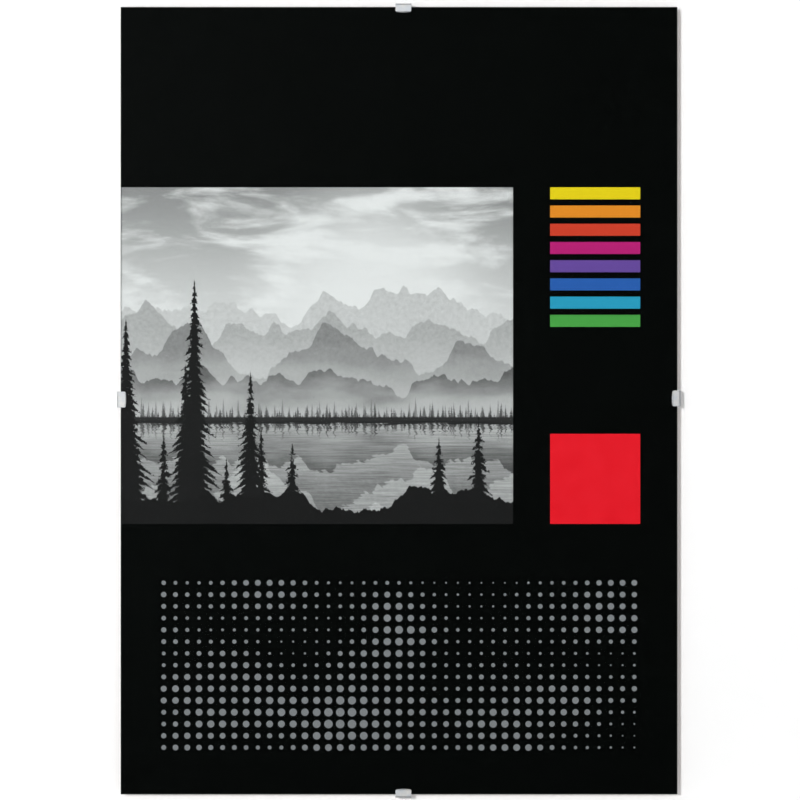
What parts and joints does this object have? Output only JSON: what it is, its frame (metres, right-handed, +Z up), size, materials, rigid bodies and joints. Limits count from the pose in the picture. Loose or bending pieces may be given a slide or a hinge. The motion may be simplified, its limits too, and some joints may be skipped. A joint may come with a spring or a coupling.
{
  "type": "clip frame",
  "caption": "Frameless picture frame: clear sheet, printed card and hardboard back held by sprung steel clips that swing off and hang it on a nail.",
  "frame": {"origin": "centre of the top clip's hanging hole, on the face that rests on the wall", "axes": "+X to the right as seen from the front, +Y from the front back into the wall, +Z up with the picture in portrait"},
  "size_m": [0.4252, 0.009, 0.5992],
  "materials": {
    "clear_styrene": "gloss",
    "printed_card": "satin",
    "hardboard": "matte",
    "zinc_plated_steel": "satin"
  },
  "bodies": {
    "root": {"glazing_sheet": "clear_styrene", "insert_sheet": "printed_card", "backing_board": "hardboard"},
    "clip_top": {"clip_top": "zinc_plated_steel"},
    "clip_bottom": {"clip_bottom": "zinc_plated_steel"},
    "clip_left": {"clip_left": "zinc_plated_steel"},
    "clip_right": {"clip_right": "zinc_plated_steel"}
  },
  "joints": [
    {"name": "clip_top_swing", "type": "hinge", "parent": "root", "child": "clip_top", "pos_m": [0, -0.0093, 0.01698], "axis": [1, 0, 0], "range_deg": [0, 90], "stiffness_Nm_per_rad": 0.02},
    {"name": "clip_bottom_swing", "type": "hinge", "parent": "root", "child": "clip_bottom", "pos_m": [0, -0.0093, -0.5705], "axis": [-1, 0, 0], "range_deg": [0, 90], "stiffness_Nm_per_rad": 0.02},
    {"name": "clip_left_swing", "type": "hinge", "parent": "root", "child": "clip_left", "pos_m": [-0.21004, -0.0093, -0.27596], "axis": [0, 0, 1], "range_deg": [0, 90], "stiffness_Nm_per_rad": 0.02},
    {"name": "clip_right_swing", "type": "hinge", "parent": "root", "child": "clip_right", "pos_m": [0.20344, -0.0093, -0.27506], "axis": [0, 0, -1], "range_deg": [0, 90], "stiffness_Nm_per_rad": 0.02}
  ]
}
